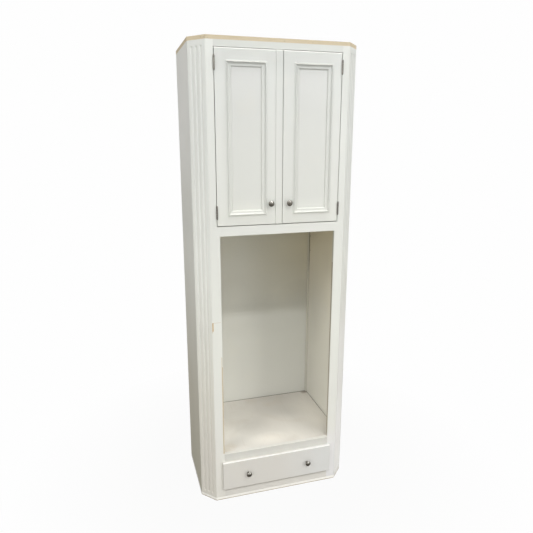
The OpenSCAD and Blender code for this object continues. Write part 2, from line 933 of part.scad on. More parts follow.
base_plate();
bottom_panel();
side_panel(-1);  // left_side_panel
side_panel(1);  // right_side_panel
top_panel();
top_plate();
back_panel();
oven_deck();
cupboard_floor();
end_panel(-1);  // left_end_panel
end_panel(1);  // right_end_panel
pilaster(-1);  // left_pilaster
pilaster(1);  // right_pilaster
stile(-1);  // left_stile
stile(1);  // right_stile
top_rail();
middle_rail();
sill_rail();
bottom_rail();
rear_nailers();
corner_cleats();
deck_supports();
drawer_runner_rails();
lower_shelf();
upper_shelf();
shelf_pins();
slide_outers();
door_catch();
hinge_frame_leaves();
hinge_pins();
door_hinge_stile(-1);  // left_door_hinge_stile
door_lock_stile(-1);  // left_door_lock_stile
door_top_rail(-1);  // left_door_top_rail
door_bottom_rail(-1);  // left_door_bottom_rail
door_panel(-1);  // left_door_panel
door_moulding(-1);  // left_door_moulding
door_strip(-1);  // left_door_strip
door_knob(-1);  // left_door_knob
hinge_door_leaves(-1);  // left_hinge_door_leaves
catch_strike(-1);  // left_catch_strike
door_hinge_stile(1);  // right_door_hinge_stile
door_lock_stile(1);  // right_door_lock_stile
door_top_rail(1);  // right_door_top_rail
door_bottom_rail(1);  // right_door_bottom_rail
door_panel(1);  // right_door_panel
door_moulding(1);  // right_door_moulding
door_knob(1);  // right_door_knob
hinge_door_leaves(1);  // right_hinge_door_leaves
catch_strike(1);  // right_catch_strike
drawer_front();
drawer_box_front();
drawer_side(-1);  // drawer_left_side
drawer_side(1);  // drawer_right_side
drawer_back();
drawer_bottom();
drawer_knobs();
slide_inners();
slide_middles();
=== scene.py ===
import math

import bmesh
import bpy
from mathutils import Matrix, Vector


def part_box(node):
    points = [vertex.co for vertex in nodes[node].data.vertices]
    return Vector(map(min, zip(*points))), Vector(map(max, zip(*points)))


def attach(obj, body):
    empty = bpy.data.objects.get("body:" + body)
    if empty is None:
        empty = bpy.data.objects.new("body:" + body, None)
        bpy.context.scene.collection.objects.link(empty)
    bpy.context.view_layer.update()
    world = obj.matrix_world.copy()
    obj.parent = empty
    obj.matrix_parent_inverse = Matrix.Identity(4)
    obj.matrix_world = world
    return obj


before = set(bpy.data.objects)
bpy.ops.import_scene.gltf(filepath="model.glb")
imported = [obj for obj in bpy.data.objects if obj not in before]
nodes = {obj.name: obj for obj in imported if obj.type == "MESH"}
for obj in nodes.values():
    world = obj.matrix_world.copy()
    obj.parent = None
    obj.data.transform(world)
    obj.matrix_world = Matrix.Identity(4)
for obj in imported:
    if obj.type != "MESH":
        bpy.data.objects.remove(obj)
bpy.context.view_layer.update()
scene = bpy.context.scene

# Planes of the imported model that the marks, lamps and heads are measured from.
FRONT_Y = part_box("sill_rail")[0].y
BACK_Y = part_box("back_panel")[0].y
DECK_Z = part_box("oven_deck")[1].z
TOP_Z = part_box("top_plate")[1].z
DOOR_TOP_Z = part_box("left_door_top_rail")[1].z


def srgb(r, g, b):
    """A colour picked in 8-bit sRGB, as the linear colour that the shaders take."""
    def linear(v):
        v /= 255
        return v / 12.92 if v <= 0.04045 else ((v + 0.055) / 1.055) ** 2.4
    return (linear(r), linear(g), linear(b), 1.0)


BLACK = srgb(0, 0, 0)
WHITE = srgb(255, 255, 255)
BACKDROP = srgb(254, 254, 254)
PRIMER = srgb(214, 202, 176)
BARE = srgb(194, 168, 120)
RUBBED = srgb(186, 163, 126)
RUBBED_PALE = srgb(206, 192, 164)
RUBBED_DARK = srgb(150, 122, 88)
JAMB = srgb(156, 134, 108)
GRIME = srgb(112, 92, 66)
JOINT_DIRT = srgb(92, 80, 62)


# ---------------------------------------------------------------- node helpers

class Tree:
    """A node tree, with short calls for the nodes that the looks and the lights use."""

    def __init__(self, tree):
        self.tree = tree

    def add(self, kind, inputs=None, **props):
        made = self.tree.nodes.new(kind)
        for key, value in props.items():
            setattr(made, key, value)
        for key, value in (inputs or {}).items():
            self.feed(made.inputs[key], value)
        return made

    def feed(self, socket, value):
        if isinstance(value, bpy.types.NodeSocket):
            self.tree.links.new(value, socket)
        else:
            socket.default_value = value

    def math(self, operation, a, b=0.0):
        return self.add("ShaderNodeMath", {0: a, 1: b}, operation=operation).outputs[0]

    def times(self, product, *factors):
        for factor in factors:
            product = self.math("MULTIPLY", product, factor)
        return product

    def distance(self, u, v):
        """The length of a plane vector with the parts u and v."""
        return self.math("SQRT", self.math("ADD", self.times(u, u), self.times(v, v)))

    def ramp(self, value, low, high, to_low=0.0, to_high=1.0):
        """The value's way from low to high, as a number from to_low to to_high, held beyond."""
        made = self.add("ShaderNodeMapRange", {"Value": value, "From Min": low, "From Max": high,
                                              "To Min": to_low, "To Max": to_high})
        return made.outputs["Result"]

    def mix(self, share, a, b):
        made = self.add("ShaderNodeMix", {0: share, 6: a, 7: b}, data_type="RGBA")
        return made.outputs[2]


class Graph(Tree):
    """The node tree of a new material, in the object's own space."""

    def __init__(self, name):
        self.material = bpy.data.materials.new(name)
        self.material.use_nodes = True
        super().__init__(self.material.node_tree)
        self.bsdf = self.tree.nodes["Principled BSDF"]
        self.point = self.add("ShaderNodeTexCoord").outputs["Object"]
        split = self.add("ShaderNodeSeparateXYZ", {0: self.point})
        self.x, self.y, self.z = split.outputs

    def stretched(self, sx, sy, sz):
        inputs = {"Vector": self.point, "Scale": (sx, sy, sz)}
        return self.add("ShaderNodeMapping", inputs).outputs[0]

    def noise(self, scale, detail=3.0, rough=0.5, vector=None, distortion=0.0):
        made = self.add("ShaderNodeTexNoise", {"Vector": vector or self.point, "Scale": scale,
                                              "Detail": detail, "Roughness": rough,
                                              "Distortion": distortion})
        return made.outputs["Fac"]

    def scaled(self, colour, factor):
        vector = colour if isinstance(colour, bpy.types.NodeSocket) else colour[:3]
        made = self.add("ShaderNodeVectorMath", {0: vector, "Scale": factor}, operation="SCALE")
        return made.outputs[0]

    def fade(self, colour, value, low, high, at_low, at_high):
        """The colour times a factor that runs from at_low to at_high with the value."""
        return self.scaled(colour, self.ramp(value, low, high, at_low, at_high))

    def facing(self):
        """The parts of the surface's own normal along X, Y and Z."""
        normal = self.add("ShaderNodeNewGeometry").outputs["Normal"]
        return self.add("ShaderNodeSeparateXYZ", {0: normal}).outputs

    def rounded(self, radius, samples):
        return self.add("ShaderNodeBevel", {"Radius": radius}, samples=samples).outputs[0]

    def edge(self, radius, low, high):
        """1 along convex and concave edges within the radius, 0 on the flats."""
        flat = self.add("ShaderNodeNewGeometry").outputs["Normal"]
        dot = self.add("ShaderNodeVectorMath", {0: self.rounded(radius, 4), 1: flat},
                       operation="DOT_PRODUCT")
        return self.ramp(self.math("SUBTRACT", 1.0, dot.outputs["Value"]), low, high)

    def box(self, low, high, soft):
        """1 inside a box, fading to 0 over the given distance; None leaves a direction open."""
        mask = None
        for value, a, b in zip((self.x, self.y, self.z), low, high):
            if a is None:
                continue
            middle, half = (a + b) / 2, (b - a) / 2
            away = self.math("ABSOLUTE", self.math("SUBTRACT", value, middle))
            inside = self.ramp(away, half, half + soft, 1.0, 0.0)
            mask = inside if mask is None else self.times(mask, inside)
        return mask

    def level(self, low, high, soft):
        """1 between two heights."""
        return self.box((None, None, low), (None, None, high), soft)

    def bump(self, height, distance, strength, normal=None):
        inputs = {"Height": height, "Distance": distance, "Strength": strength}
        if normal is not None:
            inputs["Normal"] = normal
        return self.add("ShaderNodeBump", inputs).outputs[0]

    def done(self, **sockets):
        for key, value in sockets.items():
            self.feed(self.bsdf.inputs[key.replace("_", " ")], value)
        return self.material


# ---------------------------------------------------------------- paint

ARRIS = 0.0016                          # how far an edge's wear reaches
ROUNDING = 0.0011                       # how far brushed paint rounds an edge
CORNER_ROUNDING = 0.0042                # the same, thicker, in the flutes of the corners
BRUSH_STROKES = (420.0, 420.0, 14.0)    # fine across, long up and down
GRAIN = (0.32, 0.7)                     # the noise levels of light and of dark wood


def by_height(g, stops):
    """A colour that changes from one height to the next."""
    shade = srgb(*stops[0][1])
    for (low, _), (high, colour) in zip(stops, stops[1:]):
        shade = g.mix(g.ramp(g.z, low, high), shade, srgb(*colour))
    return shade


def painted(name, stops, roughness=0.42, edge_wear=0.5, marks=None, grime=0.25, rounding=ROUNDING):
    """Brushed enamel on wood, in a colour for each height, rubbed through along its edges."""
    g = Graph(name)
    cloud = g.noise(2.3, 4.0)
    shade = g.fade(by_height(g, stops), cloud, 0.3, 0.7, 0.985, 1.012)
    warm = g.ramp(g.noise(6.0), 0.55, 0.8, 0.0, 0.14)
    shade = g.mix(warm, shade, srgb(222, 217, 200))
    specks = g.times(g.ramp(g.noise(170.0, 2.0), 0.735, 0.78), g.ramp(g.noise(4.0, 2.0), 0.5, 0.7))
    shade = g.mix(g.times(specks, grime), shade, GRIME)
    ragged = g.ramp(g.noise(55.0, 5.0, 0.7), 0.60, 0.68)
    patchy = g.ramp(g.noise(3.1), 0.44, 0.62)
    rubbed = g.times(g.edge(ARRIS, 0.03, 0.16), ragged, patchy)
    shade = g.mix(g.times(rubbed, edge_wear), shade, PRIMER)
    if marks:
        shade = marks(g, shade)
    brush = g.noise(1.0, 4.0, 0.6, g.stretched(*BRUSH_STROKES))
    normal = g.bump(brush, 0.00012, 0.35, g.rounded(rounding, 6))
    normal = g.bump(g.noise(9.0, 2.0), 0.002, 0.12, normal)
    rough = g.ramp(brush, 0.2, 0.8, roughness - 0.05, roughness + 0.07)
    return g.done(Base_Color=shade, Roughness=rough, Normal=normal)


def patch(g, shade, mask, colour, strength, ragged=None):
    """A mark where the mask says, broken up where a noise scale and level are given."""
    if ragged:
        scale, level = ragged
        mask = g.times(mask, g.ramp(g.noise(scale, 5.0, 0.65), level, level + 0.08))
    return g.mix(g.times(mask, strength), shade, colour)


def light_and_stain_ovals(g, shade, across, up, blots):
    """Soft ovals where the paint is paler or duller, in the two directions of a flat board: painted
    light and painted shade, and stains.

    Each has its middle, direction, half length, half width and the factor in its middle.
    """
    for centre, along, half_length, half_width, factor in blots:
        du, dv = g.math("SUBTRACT", across, centre[0]), g.math("SUBTRACT", up, centre[1])
        au, av = Vector(along).normalized()
        parts = [g.math("ADD", g.times(du, pu / half), g.times(dv, pv / half))
                 for pu, pv, half in ((au, av, half_length), (-av, au, half_width))]
        shade = g.fade(shade, g.distance(*parts), 0.2, 1.0, factor, 1.0)
    return shade


def raw_back(g, shade, outside):
    """Bare veneer where the mask says that the board's outside is unfinished."""
    grain = g.noise(1.0, 6.0, 0.6, g.stretched(60.0, 60.0, 3.0), 0.8)
    veneer = g.mix(g.ramp(grain, *GRAIN), srgb(214, 197, 164), srgb(190, 166, 128))
    return g.mix(outside, shade, veneer)


def joint_dirt(g, shade, above=0.0010):
    """Dirt along the joint between the oven deck and the walls of the bay."""
    return patch(g, shade, g.level(DECK_Z - 0.008, DECK_Z + above, 0.0008), JOINT_DIRT, 0.8)


# Worn places of the stiles: from and to in x, in depth behind the face and in height, then
# softness, colour, strength, and the noise scale and level of a broken outline.
STILE_WEAR = (
    # a chip on the left arris, with cracked paint below it and beside its top
    ((-0.3818, -0.3742), (-0.01, 0.004), (1.0800, 1.1280), 0.0015, BARE, 0.95, (60.0, 0.27)),
    ((-0.3818, -0.3785), (-0.01, 0.004), (1.0700, 1.0800), 0.0015, RUBBED, 0.60, None),
    ((-0.3780, -0.3330), (-0.01, 0.002), (1.1265, 1.1280), 0.0010, RUBBED, 0.45, None),
    # the left edge of the oven bay
    ((-0.3308, -0.3250), (-0.01, 0.030), (0.3100, 0.8600), 0.0010, RUBBED, 0.90, (9.0, 0.27)),
    ((-0.3314, -0.3250), (-0.01, 0.030), (0.3100, 0.6000), 0.0010, RUBBED_DARK, 0.80, (38.0, 0.58)),
    # the rear half of its right edge
    ((0.3250, 0.3285), (0.009, 0.020), (0.3000, 1.4200), 0.0010, JAMB, 0.90, (5.0, 0.22)),
    ((0.3250, 0.3285), (0.009, 0.020), (1.4200, 1.6000), 0.0010, JAMB, 0.40, None),
    # and thin paint beside the left edge
    ((-0.3345, -0.3300), (-0.01, 0.030), (0.3100, 0.9200), 0.0010, RUBBED_PALE, 0.60, None),
)
HIGH = (2.15, 2.35)     # heights over which the upper right of the front turns greyer, as painted shade


def frame_marks(g, shade):
    """Wear of the stiles; the right one has painted shade high up, and cooler, paler paint at its
    foot as a painted tint of light.
    """
    for xs, depths, zs, soft, colour, strength, ragged in STILE_WEAR:
        low, high = ((xs[i], FRONT_Y + depths[i], zs[i]) for i in (0, 1))
        shade = patch(g, shade, g.box(low, high, soft), colour, strength, ragged)
    painted_shade_high = g.times(g.ramp(g.x, 0.330, 0.345), g.ramp(g.z, *HIGH))
    shade = g.fade(shade, painted_shade_high, 0.0, 1.0, 1.0, 0.93)
    # painted light: cooler, paler paint at the foot of the right stile
    foot = g.times(g.ramp(g.x, 0.318, 0.330), g.ramp(g.z, 0.38, 0.22))
    return g.mix(foot, shade, srgb(231, 230, 229))


def corner_marks(g, shade):
    """Painted shade on the flanks of the flutes that face the front and painted light on those that
    face aside, which flatten the flutes; the right corner has painted shade high up and painted
    light beside the oven bay.
    """
    front = g.times(g.facing()[1], -1.0)
    shade = g.fade(shade, front, 0.72, 0.95, 1.0, 0.87)
    shade = g.fade(shade, front, 0.35, 0.64, 1.07, 1.0)
    right = g.ramp(g.x, 0.30, 0.36)
    shade = g.fade(shade, g.times(right, g.ramp(g.z, *HIGH)), 0.0, 1.0, 1.0, 0.95)
    # painted light: paler paint on the right corner beside the oven bay
    shade = g.mix(g.times(right, g.ramp(g.z, 1.25, 0.95)), shade, srgb(241, 240, 235))
    return g.mix(g.times(right, g.ramp(g.z, 0.60, 0.35)), shade, srgb(251, 250, 247))


def door_marks(g, shade):
    """Darker paint on the upward faces high on the doors, part dusty and part painted shade that
    dims their highlights; paler hinge stiles and left door as painted light; a painted highlight on
    their upper arris.
    """
    dust_and_shade = g.times(g.ramp(g.facing()[2], 0.25, 0.55), g.ramp(g.z, 2.36, 2.38), 0.9)
    shade = g.mix(dust_and_shade, shade, srgb(156, 154, 146))
    # painted light: paler hinge stiles and a paler left door
    shade = g.fade(shade, g.x, -0.315, -0.290, 1.035, 1.0)
    shade = g.fade(shade, g.x, -0.02, 0.0, 1.02, 1.0)
    shade = g.fade(shade, g.x, 0.27, 0.30, 1.0, 1.035)
    # painted highlight along the upper arris of the doors
    arris = g.ramp(g.z, DOOR_TOP_Z - 0.0042, DOOR_TOP_Z - 0.0034)
    return g.mix(arris, shade, srgb(246, 246, 242))


def sill_marks(g, shade):
    """The upper edge of the rail under the oven is painted pale, as a painted highlight."""
    pale = g.ramp(g.z, DECK_Z - 0.0040, DECK_Z - 0.0022, 0.0, 0.9)
    return g.mix(pale, shade, srgb(236, 234, 226))


def drawer_marks(g, shade):
    """Cooler paint to the right as a painted tint of light, and a painted highlight along the front
    of its upper edge.
    """
    low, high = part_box("drawer_front")
    shade = g.mix(g.ramp(g.x, 0.0, 0.28), shade, srgb(217, 217, 214))
    top_highlight = g.times(g.ramp(g.z, high.z - 0.0014, high.z - 0.0008),
                    g.ramp(g.y, low.y + 0.012, low.y + 0.009))
    return g.mix(top_highlight, shade, srgb(243, 242, 238))


def plinth_marks(g, shade):
    """A painted shadow line under the lower edge of the drawer front."""
    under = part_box("drawer_front")[0].z
    return patch(g, shade, g.level(under - 0.018, under - 0.011, 0.002), srgb(150, 144, 132), 0.5)


def base_marks(g, shade):
    """Brown on the lowest few millimetres and underneath."""
    low = g.times(g.ramp(g.z, 0.0032, 0.0048, 1.0, 0.0), g.ramp(g.noise(30.0), 0.25, 0.4, 0.5, 1.0))
    return g.mix(low, shade, srgb(178, 163, 138))


WALL_OUTSIDE = (0.4372, 0.4378)     # from here outwards the carcass sides are bare
# Ovals of painted light and painted shade on the walls of the bay.
WALL_LIGHT_OVALS = (
    ((-0.10, 0.98), (-0.30, 0.95), 0.67, 0.206, 1.09),
    ((0.16, 1.07), (-0.30, 0.95), 0.44, 0.213, 0.91),
    ((-0.05, 1.37), (0.00, 1.00), 0.18, 0.133, 0.93),
)


def wall_marks(g, shade):
    """Paler towards the front of the bay as painted light, with ovals of painted light and shade,
    and bare on the outside.
    """
    # painted light towards the front of the bay
    shade = g.fade(shade, g.y, 0.20, -0.25, 0.94, 1.09)
    shade = light_and_stain_ovals(g, shade, g.y, g.z, WALL_LIGHT_OVALS)
    shade = joint_dirt(g, shade, -0.0008)
    return raw_back(g, shade, g.ramp(g.math("ABSOLUTE", g.x), *WALL_OUTSIDE))


# Ovals of painted light and painted shade on the back of the bay.
BACK_LIGHT_OVALS = (
    ((-0.12, 1.01), (0.00, 1.00), 0.17, 0.154, 1.10),
    ((0.23, 1.15), (0.00, 1.00), 0.34, 0.400, 1.11),
    ((0.46, 1.04), (0.00, 1.00), 0.15, 0.294, 0.85),
    ((-0.25, 0.47), (0.00, 1.00), 0.65, 0.188, 1.06),
)
NAIL_LINE = 0.4285      # the nails of the back panel: distance from the middle
NAIL_STEP = 0.075       # half of the distance between two of them
NAIL_RIM = (0.0016, 0.0022)


def back_marks(g, shade):
    """Paler to the left as painted light, yellower high up on the right of the bay with a band of
    painted shadow, ovals of painted light and shade, and bare with nail heads on the outside.
    """
    # painted light on the left of the back
    shade = g.fade(shade, g.x, 0.25, 0.0, 1.0, 1.06)
    yellow_tint = g.times(g.ramp(g.x, -0.05, 0.42), g.ramp(g.z, 0.9, 1.35),
                   g.ramp(g.z, 1.60, 1.62, 0.8, 0.0))
    shade = g.mix(yellow_tint, shade, srgb(205, 197, 170))
    painted_shadow = g.times(g.ramp(g.x, 0.08, 0.36), g.level(1.14, 1.29, 0.12))
    shade = g.fade(shade, painted_shadow, 0.0, 1.0, 1.0, 0.86)
    shade = light_and_stain_ovals(g, shade, g.x, g.z, BACK_LIGHT_OVALS)
    shade = joint_dirt(g, shade)
    shade = raw_back(g, shade, g.ramp(g.y, BACK_Y + 0.0115, BACK_Y + 0.0118))
    away = g.distance(g.math("SUBTRACT", g.math("ABSOLUTE", g.x), NAIL_LINE),
                      g.math("PINGPONG", g.z, NAIL_STEP))
    return g.mix(g.ramp(away, *NAIL_RIM, 0.7, 0.0), shade, srgb(104, 98, 90))


def strip_marks(g, shade):
    """Dark lines of painted shade where the strips in the rear corners meet the walls and the back,
    deeper higher up.
    """
    wall = g.times(g.ramp(g.math("ABSOLUTE", g.x), 0.4118, 0.4130),
                   g.ramp(g.z, 1.12, 1.30, 0.12, 0.62))
    shade = g.mix(wall, shade, srgb(92, 84, 64))
    rear = g.times(g.ramp(g.y, BACK_Y - 0.003, BACK_Y - 0.002), 0.3)
    return joint_dirt(g, g.mix(rear, shade, srgb(104, 96, 76)))


# Ovals on the deck: stains, and painted light and painted shade.
DECK_STAIN_AND_LIGHT_OVALS = (
    ((0.28, -0.21), (0.56, -0.83), 0.22, 0.116, 0.86),
    ((-0.08, -0.05), (0.45, -0.89), 0.12, 0.138, 0.89),
    ((-0.02, -0.22), (1.00, 0.00), 0.14, 0.079, 1.17),
    ((-0.34, -0.01), (0.38, -0.92), 0.27, 0.137, 1.20),
    ((-0.24, -0.21), (0.45, -0.89), 0.07, 0.097, 0.88),
    ((0.38, 0.13), (0.00, -1.00), 0.42, 0.193, 1.20),
    ((0.14, 0.06), (0.90, -0.43), 0.22, 0.107, 0.91),
)


def deck_marks(g, shade):
    """The deck is cream in front, greyer behind as painted shade and paler to the left as painted
    light, with stains and ovals of painted light and shade, browned at its front left and
    scratched.
    """
    shade = g.mix(g.ramp(g.y, FRONT_Y + 0.10, 0.26), shade, srgb(212, 208, 202))
    shade = g.mix(g.ramp(g.x, 0.0, -0.2, 0.0, 0.8), shade, srgb(239, 236, 229))
    soft = g.noise(4.5, 3.0, 0.55, distortion=0.8)
    shade = g.mix(g.ramp(soft, 0.50, 0.70, 0.0, 0.30), shade, srgb(207, 197, 182))
    shade = light_and_stain_ovals(g, shade, g.x, g.y, DECK_STAIN_AND_LIGHT_OVALS)
    smudge = g.times(g.box((-0.33, FRONT_Y, None), (-0.29, FRONT_Y + 0.05, None), 0.10),
                     g.ramp(g.noise(14.0, 5.0, 0.65, distortion=0.6), 0.36, 0.66, 0.0, 0.45))
    shade = g.mix(smudge, shade, srgb(200, 182, 150))
    scratches = g.noise(1.0, 3.0, 0.6, g.stretched(170.0, 7.0, 170.0), 0.3)
    shade = g.mix(g.ramp(scratches, 0.60, 0.74, 0.0, 0.16), shade, srgb(190, 176, 156))
    rear_corner = g.box((0.385, 0.272, None), (0.42, 0.30, None), 0.022)
    return patch(g, shade, rear_corner, GRIME, 0.55)


# ---------------------------------------------------------------- wood, metal and plastic

PLIES = 7
PLY_THICKNESS = 0.019
PLATE_CLIP = (0.382, 0.385)     # from here outwards the plate's edge is its clipped corner


def plywood(name, face, edge_colour, dark):
    """The top plate's bare plywood: grain along X on its faces, and plies in its edges."""
    g = Graph(name)
    grain = g.noise(1.0, 6.0, 0.62, g.stretched(3.0, 60.0, 60.0), 0.6)
    shade = g.mix(g.ramp(grain, 0.3, 0.75), srgb(*face), srgb(*dark))
    layer = g.times(g.math("SUBTRACT", g.z, TOP_Z), PLIES / PLY_THICKNESS)
    stripe = g.ramp(g.math("PINGPONG", layer, 1.0), 0.35, 0.65)
    fibre = g.noise(1.0, 4.0, 0.7, g.stretched(240.0, 240.0, 900.0))
    ply = g.mix(stripe, srgb(*edge_colour), g.scaled(srgb(*edge_colour), 0.82))
    ply = g.fade(ply, fibre, 0.25, 0.75, 0.88, 1.08)
    # painted light: the edges of the clipped corners are painted paler
    ply = g.fade(ply, g.math("ABSOLUTE", g.x), *PLATE_CLIP, 1.0, 1.28)
    flat = g.ramp(g.math("ABSOLUTE", g.facing()[2]), 0.5, 0.7)
    shade = g.mix(flat, ply, shade)
    stain = g.times(g.ramp(g.noise(7.0, 4.0), 0.52, 0.72, 0.0, 0.35), flat)
    shade = g.mix(stain, shade, srgb(166, 138, 100))
    rough = g.ramp(grain, 0.2, 0.8, 0.62, 0.82)
    return g.done(Base_Color=shade, Roughness=rough, Normal=g.bump(fibre, 0.0004, 0.35))


def timber(name, light, dark, along, roughness=0.6):
    """Planed softwood or birch with its grain along X or Y."""
    g = Graph(name)
    sizes = {"X": (2.0, 55.0, 55.0), "Y": (55.0, 2.0, 55.0)}[along]
    grain = g.noise(1.0, 6.0, 0.6, g.stretched(*sizes), 0.8)
    fine = g.noise(6.0, 3.0, 0.6, g.stretched(*sizes))
    shade = g.mix(g.ramp(grain, *GRAIN), srgb(*light), srgb(*dark))
    shade = g.fade(shade, fine, 0.3, 0.7, 0.94, 1.05)
    rough = g.ramp(grain, 0.2, 0.8, roughness - 0.06, roughness + 0.08)
    return g.done(Base_Color=shade, Roughness=rough, Normal=g.bump(fine, 0.0003, 0.3))


def metal(name, colour, worn, roughness, scale=120.0):
    """Cast or drawn metal with tarnish in patches and a finely pitted skin."""
    g = Graph(name)
    patches = g.noise(scale, 4.0, 0.6)
    shade = g.mix(g.ramp(patches, 0.35, 0.7), srgb(*colour), srgb(*worn))
    rim = g.edge(0.0012, 0.03, 0.2)
    shade = g.mix(g.times(rim, 0.5), shade, g.scaled(srgb(*worn), 1.5))
    rough = g.ramp(patches, 0.3, 0.7, roughness - 0.08, roughness + 0.1)
    pits = g.bump(g.noise(scale * 9, 2.0), 0.0001, 0.3)
    return g.done(Base_Color=shade, Metallic=1.0, Roughness=rough, Normal=pits)


RUBBED_AND_HIGHLIGHT_WAY = (-0.02, -0.84, 0.54)   # fingers polish the knobs in front, and a painted highlight sits above


def rubbed_and_highlit_knobs(name):
    """Antiqued pewter: dark in the neck and round the rim, bright in front and above where fingers
    pull, partly rubbed and partly a painted highlight.
    """
    g = Graph(name)
    normal = g.add("ShaderNodeTexCoord").outputs["Normal"]
    toward = g.add("ShaderNodeVectorMath", {0: normal, 1: RUBBED_AND_HIGHLIGHT_WAY}, operation="DOT_PRODUCT")
    rubbed = g.times(g.ramp(toward.outputs["Value"], 0.86, 0.985),
                     g.ramp(g.noise(260.0), 0.3, 0.6, 0.75, 1.0))
    tarnish = g.ramp(g.noise(190.0, 4.0, 0.6), 0.35, 0.7)
    tarnish = g.mix(tarnish, srgb(94, 91, 84), srgb(118, 114, 106))
    shade = g.mix(rubbed, tarnish, srgb(162, 160, 153))
    rough = g.ramp(rubbed, 0.0, 1.0, 0.36, 0.24)
    pits = g.bump(g.noise(1400.0, 2.0), 0.0001, 0.3)
    return g.done(Base_Color=shade, Metallic=1.0, Roughness=rough, Normal=pits)


def moulded(name, colour):
    """Brown moulded plastic with a fine spark texture."""
    g = Graph(name)
    spark = g.noise(900.0, 2.0)
    shade = g.fade(srgb(*colour), g.noise(40.0), 0.3, 0.7, 0.93, 1.07)
    return g.done(Base_Color=shade, Roughness=g.ramp(spark, 0.3, 0.7, 0.45, 0.6),
                  Normal=g.bump(spark, 0.0001, 0.4))


# ---------------------------------------------------------------- looks

# The paint's colour at each height in metres. Much of its change with height is painted shade and
# painted light, which even out how the lamps light each part: the sides are darker low down and the
# door panels paler at the top.
FACE = ((0.0, (227, 224, 216)), (0.5, (226, 226, 219)), (1.0, (224, 225, 217)),
        (1.65, (217, 218, 212)), (2.3, (213, 215, 210)))
HEADER = ((0.0, (199, 201, 196)),)
CORNER = ((0.3, (225, 221, 211)), (0.7, (230, 228, 217)), (1.4, (240, 241, 234)),
          (2.2, (228, 230, 225)))
DOOR = ((1.72, (213, 214, 207)), (1.80, (212, 213, 207)), (2.1, (208, 209, 204)),
        (2.40, (203, 205, 201)), (2.48, (197, 199, 195)))
MOULDING = ((1.72, (210, 211, 204)), (1.80, (207, 208, 202)), (2.1, (203, 204, 199)),
            (2.45, (198, 200, 196)))
PANEL = ((1.72, (217, 218, 211)), (1.80, (210, 211, 205)), (2.1, (206, 207, 202)),
         (2.26, (203, 204, 200)), (2.42, (206, 207, 204)))
SILL = ((0.0, (207, 206, 199)),)
DRAWER = ((0.0, (216, 213, 206)),)
PLINTH = ((0.0, (221, 218, 211)),)
BASE = ((0.0, (253, 251, 244)),)
LEFT_SIDE = ((0.2, (202, 198, 182)), (0.6, (210, 206, 191)), (1.45, (241, 241, 233)),
             (2.2, (233, 233, 227)))
RIGHT_SIDE = ((0.2, (229, 226, 216)), (0.8, (234, 232, 222)), (1.6, (238, 238, 230)),
              (2.2, (233, 233, 227)))
INSIDE = ((0.35, (217, 217, 210)), (0.75, (213, 213, 205)), (1.0, (204, 204, 196)),
          (1.2, (209, 208, 199)), (1.5, (219, 218, 208)))
STRIP = ((0.0, (212, 211, 202)), (1.5, (206, 203, 186)))
WALL = ((0.0, (231, 230, 222)), (1.0, (229, 226, 214)), (1.5, (221, 212, 188)))
DECK = ((0.0, (234, 230, 221)),)

BIRCH = ((226, 205, 170), (208, 180, 138))
SIDES = {"roughness": 0.48}
BAY = {"roughness": 0.55, "edge_wear": 0.3}

looks = {
    "face": painted("enamel_face", FACE, marks=frame_marks),
    "header": painted("enamel_header", HEADER),
    "corner": painted("enamel_corners", CORNER, marks=corner_marks, rounding=CORNER_ROUNDING),
    "door": painted("enamel_doors", DOOR, edge_wear=0.3, marks=door_marks),
    "moulding": painted("enamel_mouldings", MOULDING, edge_wear=0.3, marks=door_marks),
    "panel": painted("enamel_door_panels", PANEL, edge_wear=0.3),
    "sill": painted("enamel_sill", SILL, marks=sill_marks),
    "drawer": painted("enamel_drawer_front", DRAWER, marks=drawer_marks),
    "plinth": painted("enamel_bottom_rail", PLINTH, marks=plinth_marks),
    "base": painted("enamel_base", BASE, marks=base_marks),
    "left_side": painted("enamel_left_side", LEFT_SIDE, **SIDES),
    "right_side": painted("enamel_right_side", RIGHT_SIDE, **SIDES),
    "inside": painted("enamel_inside", INSIDE, marks=back_marks, **BAY),
    "strip": painted("enamel_strips", STRIP, marks=strip_marks, **BAY),
    "wall": painted("enamel_walls", WALL, marks=wall_marks, **BAY),
    "deck": painted("enamel_deck", DECK, 0.5, edge_wear=0.7, marks=deck_marks, grime=0.5),
    "top_ply": plywood("plywood_top", (208, 184, 146), (202, 188, 160), (184, 158, 122)),
    "pine": timber("pine", (214, 184, 138), (186, 146, 98), "Y"),
    "birch_y": timber("birch_along_y", *BIRCH, "Y", 0.5),
    "birch_x": timber("birch_along_x", *BIRCH, "X", 0.5),
    "hinge": metal("pewter_hinges", (100, 98, 92), (138, 135, 128), 0.32),
    "knob": rubbed_and_highlit_knobs("pewter_knobs"),
    "zinc": metal("zinc", (176, 180, 184), (150, 154, 160), 0.3, 60.0),
    "plastic": moulded("brown_plastic", (74, 56, 42)),
}

